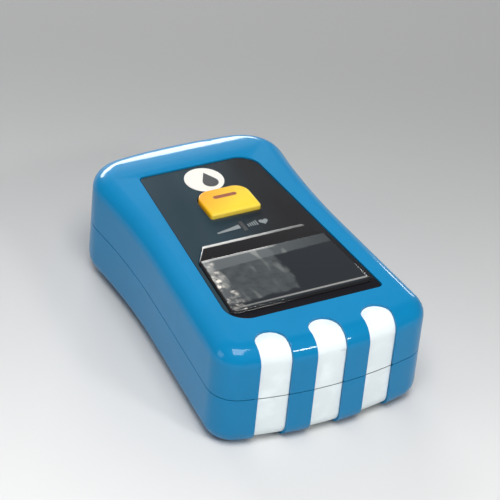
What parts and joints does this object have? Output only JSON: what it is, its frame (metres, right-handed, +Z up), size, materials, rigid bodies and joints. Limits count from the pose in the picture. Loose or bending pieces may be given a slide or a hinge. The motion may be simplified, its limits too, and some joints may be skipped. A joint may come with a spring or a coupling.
{
  "type": "fingertip pulse oximeter",
  "caption": "Pocket pulse oximeter: a sprung clam that opens at the finger end, with a display, a power button and light sensors round the finger.",
  "frame": {"origin": "middle of the underside, at the centre of the body's length and width", "axes": "+X across the width, +Y along the length from the closed near end towards the finger opening, +Z up"},
  "size_m": [0.04, 0.064, 0.0206],
  "materials": {
    "blue_shell": "satin gloss",
    "grip_white": "smooth",
    "fascia_black": "gloss",
    "lens_clear": "polished",
    "display_grey": "polished",
    "light_guide": "satin",
    "holder_black": "fine texture",
    "contact_rubber": "matt",
    "button_yellow": "satin gloss",
    "print_white": "printed",
    "switch_black": "satin",
    "board_green": "solder mask",
    "chip_black": "moulded",
    "sensor_clear": "polished",
    "ribbon_amber": "film",
    "frame_grey": "fine texture",
    "pad_rubber": "soft matt",
    "steel": "brushed",
    "contact_metal": "gold flash"
  },
  "bodies": {
    "lower": {"lower_shell": "blue_shell", "lower_grip_left": "grip_white", "lower_grip_middle": "grip_white", "lower_grip_right": "grip_white", "lower_frame": "frame_grey", "lower_finger_pad": "pad_rubber", "sensor_board": "board_green", "photodiode": "chip_black", "detector_window": "sensor_clear", "ribbon_cable": "ribbon_amber", "hinge_pin": "steel", "left_torsion_spring": "steel", "right_torsion_spring": "steel", "lower_screws": "steel", "lower_coin_cell": "steel", "upper_coin_cell": "steel", "upper_battery_contact": "contact_metal", "side_battery_contact": "contact_metal"},
    "upper": {"upper_shell": "blue_shell", "fascia_panel": "fascia_black", "display_lens": "lens_clear", "emblem_disc": "print_white", "upper_grip_left": "grip_white", "upper_grip_middle": "grip_white", "upper_grip_right": "grip_white", "display_glass": "display_grey", "backlight": "light_guide", "contact_strip": "contact_rubber", "display_holder": "holder_black", "switch_body": "switch_black", "main_board": "board_green", "processor_chip": "chip_black", "amplifier_chip": "chip_black", "timing_crystal": "steel", "small_board_parts": "chip_black", "light_emitter": "sensor_clear", "emitter_window": "sensor_clear", "upper_frame": "frame_grey", "upper_finger_pad": "pad_rubber", "upper_screws": "steel"},
    "button": {"power_button": "button_yellow"},
    "plunger": {"switch_plunger": "switch_black"},
    "battery_cover": {"battery_cover": "blue_shell"}
  },
  "joints": [
    {"name": "jaw", "type": "hinge", "parent": "lower", "child": "upper", "pos_m": [0, -0.0274, 0.0152], "axis": [1, 0, 0], "range_deg": [0, 20], "stiffness_Nm_per_rad": 0.3, "springref_deg": -20.05, "deforming": ["left_torsion_spring", "right_torsion_spring", "ribbon_cable"]},
    {"name": "button_press", "type": "slide", "parent": "upper", "child": "button", "axis": [0, 0, -1], "range_m": [0, 0.0004], "stiffness_N_per_m": 800},
    {"name": "plunger_press", "type": "slide", "parent": "upper", "child": "plunger", "axis": [0, 0, -1], "range_m": [0, 0.0004]},
    {"name": "cover_turn", "type": "hinge", "parent": "lower", "child": "battery_cover", "pos_m": [0, -0.01, 0], "axis": [0, 0, 1], "range_deg": [0, 60]}
  ],
  "couplings": [
    {"joint": "plunger_press", "follows": "button_press", "ratio": 1}
  ]
}
